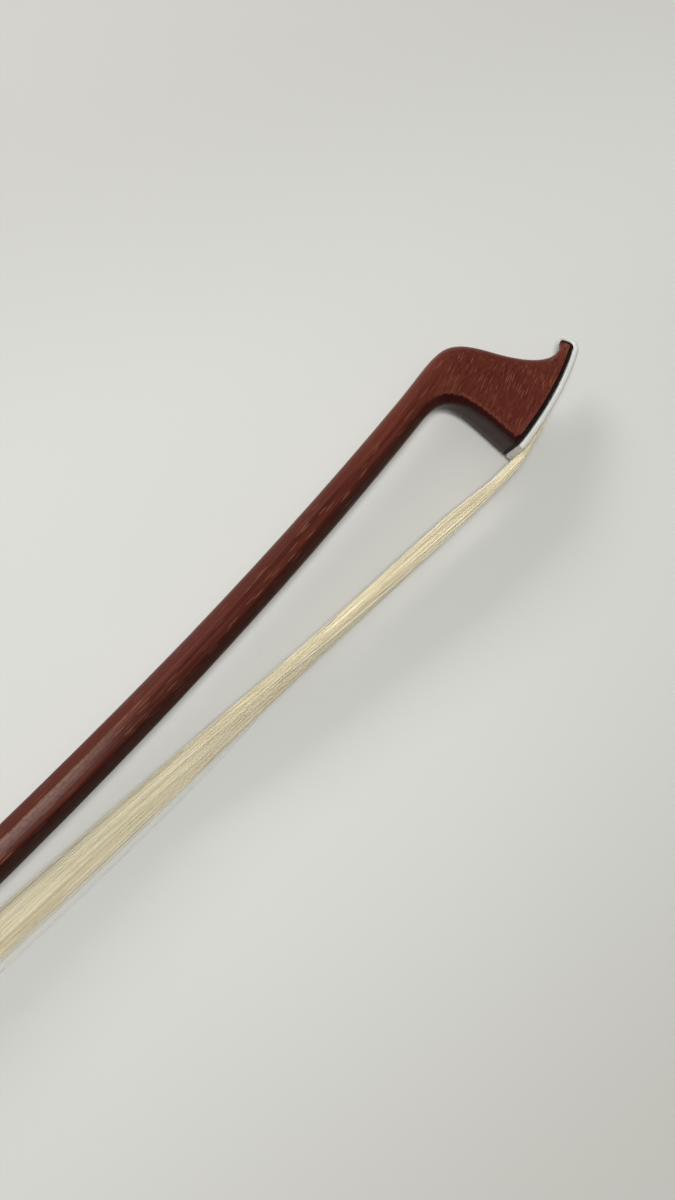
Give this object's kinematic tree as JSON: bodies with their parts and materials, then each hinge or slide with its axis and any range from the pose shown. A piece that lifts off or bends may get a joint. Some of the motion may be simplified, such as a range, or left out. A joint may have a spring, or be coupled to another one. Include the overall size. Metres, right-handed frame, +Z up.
{
  "type": "cello bow",
  "caption": "Cambered octagonal stick with a hatchet head, a slack ribbon of hair and a sliding frog moved by a screw with a button.",
  "frame": {"origin": "centre of the bow's bounding box in length and height, on the surface that the bow lies on, so z = 0 is the plane of the frog's lower cheek", "axes": "+X along the bow from the button to the tip, +Y from the hair to the stick, +Z up through the cheeks of the frog and head; the bow lies on its side"},
  "size_m": [0.7094, 0.0408, 0.0145],
  "materials": {
    "pernambuco": "polished, thin dark reddish varnish, satin gloss",
    "plug_wood": "plain soft wood, raw",
    "ebony": "polished black wood",
    "black_liner": "thin black veneer, satin",
    "white_plate": "white, slightly translucent, satin",
    "hair": "unbleached horsehair, straw white",
    "thread": "waxed linen thread",
    "silver": "polished white metal with a light tarnish",
    "brass": "plain brass",
    "steel": "plain steel",
    "pearl": "mother of pearl, glossy",
    "leather": "dark brown, fine grain"
  },
  "bodies": {
    "stick": {"stick": "pernambuco", "head_liner": "black_liner", "head_plate": "white_plate", "head_plug": "plug_wood", "head_hair_knot": "thread", "hair_ribbon": "hair", "thumb_leather": "leather", "wire_winding": "silver"},
    "frog": {"frog_body": "ebony", "frog_underslide": "silver", "underslide_pin_front": "brass", "underslide_pin_back": "brass", "heel_plate": "silver", "heel_pin_back": "silver", "heel_pin_bottom": "silver", "ferrule": "silver", "spread_wedge": "plug_wood", "pearl_slide": "pearl", "slide_backing": "ebony", "frog_hair_knot": "thread", "frog_plug": "plug_wood", "eye_ring_upper": "silver", "eye_pearl_upper": "pearl", "eye_ring_lower": "silver", "eye_pearl_lower": "pearl", "eyelet": "brass"},
    "adjuster": {"adjuster_screw": "steel", "button_core": "ebony", "button_ring_front": "silver", "button_ring_back": "silver", "button_pearl": "pearl"}
  },
  "joints": [
    {"name": "frog_slide", "type": "slide", "parent": "stick", "child": "frog", "axis": [-1, 0, 0], "range_m": [0, 0.007], "deforming": ["hair_ribbon"]},
    {"name": "adjuster_turn", "type": "hinge", "parent": "stick", "child": "adjuster", "pos_m": [-0.33957, 0.01275, 0.00725], "axis": [1, 0, 0], "range_deg": [0, 3600]}
  ],
  "couplings": [
    {"joint": "adjuster_turn", "follows": "frog_slide", "rad_per_m": 8975.9}
  ]
}
